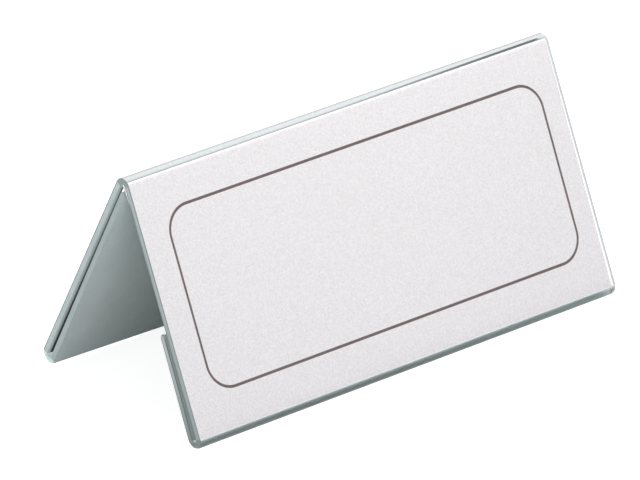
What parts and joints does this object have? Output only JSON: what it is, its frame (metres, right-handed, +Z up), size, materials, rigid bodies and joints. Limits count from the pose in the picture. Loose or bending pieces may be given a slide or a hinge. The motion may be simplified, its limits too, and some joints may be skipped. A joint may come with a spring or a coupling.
{
  "type": "table name sign",
  "caption": "Roof-shaped table name sign: clear bent film with folded feet and inner flaps that hold a creased card, which slides out of the open ends.",
  "frame": {"origin": "on the table, under the middle of the ridge, halfway between the two feet", "axes": "+X along the ridge, -Y towards the front face, +Z up"},
  "size_m": [0.1, 0.0444, 0.0452],
  "materials": {
    "clear_film": "clear rigid film, glossy, slightly grey-green at its cut edges",
    "card": "matte white card with one thin grey border line"
  },
  "bodies": {
    "front_leg": {"front_window": "clear_film", "front_foot": "clear_film", "ridge_bend": "clear_film"},
    "rear_leg": {"rear_window": "clear_film", "rear_foot": "clear_film", "rear_flap": "clear_film"},
    "front_flap": {"front_flap": "clear_film"},
    "card_front": {"card_front": "card"},
    "card_rear": {"card_rear": "card"}
  },
  "joints": [
    {"name": "roof_flex", "type": "hinge", "parent": "front_leg", "child": "rear_leg", "pos_m": [0, 0, 0.04326], "axis": [1, 0, 0], "range_deg": [-12, 8], "stiffness_Nm_per_rad": 0.5},
    {"name": "front_flap_flex", "type": "hinge", "parent": "front_leg", "child": "front_flap", "pos_m": [0, -0.01893, 0.00103], "axis": [-1, 0, 0], "range_deg": [0, 12], "stiffness_Nm_per_rad": 0.05},
    {"name": "card_slide", "type": "slide", "parent": "front_leg", "child": "card_front", "axis": [1, 0, 0], "range_m": [-0.102, 0.102]},
    {"name": "card_fold", "type": "hinge", "parent": "card_front", "child": "card_rear", "pos_m": [0, 0, 0.04326], "axis": [1, 0, 0], "range_deg": [-12, 8]}
  ],
  "couplings": [
    {"joint": "card_fold", "follows": "roof_flex", "ratio": 1}
  ]
}
